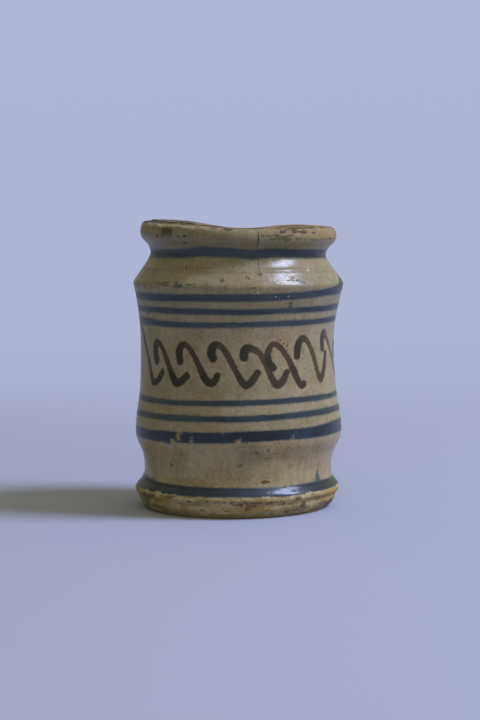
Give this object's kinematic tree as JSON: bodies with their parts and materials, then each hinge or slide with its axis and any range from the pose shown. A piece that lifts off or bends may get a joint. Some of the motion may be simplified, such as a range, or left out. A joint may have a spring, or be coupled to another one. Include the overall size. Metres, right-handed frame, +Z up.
{
  "type": "jar",
  "caption": "Waisted earthenware drug jar with an everted lip, two sharp shoulders and a flanged foot, glazed inside and out and open at the top.",
  "frame": {"origin": "on the table under the middle of the jar's overall box, which is within 1 mm of the middle of the ring it stands on", "axes": "+Z up along the wheel's axis, -Y towards the side that the picture shows, +X to the right in the picture"},
  "size_m": [0.1075, 0.1076, 0.147],
  "materials": {
    "clay": "bare fired earthenware, matte and pitted, stained olive and brown at the foot",
    "outer_glaze": "glossy greyish buff tin glaze with cobalt blue bands and manganese brown scrolls, worn and pitted",
    "inner_glaze": "glossy plain buff glaze"
  },
  "bodies": {
    "root": {"clay_body": "clay", "outer_glaze": "outer_glaze", "inner_glaze": "inner_glaze"}
  },
  "joints": []
}
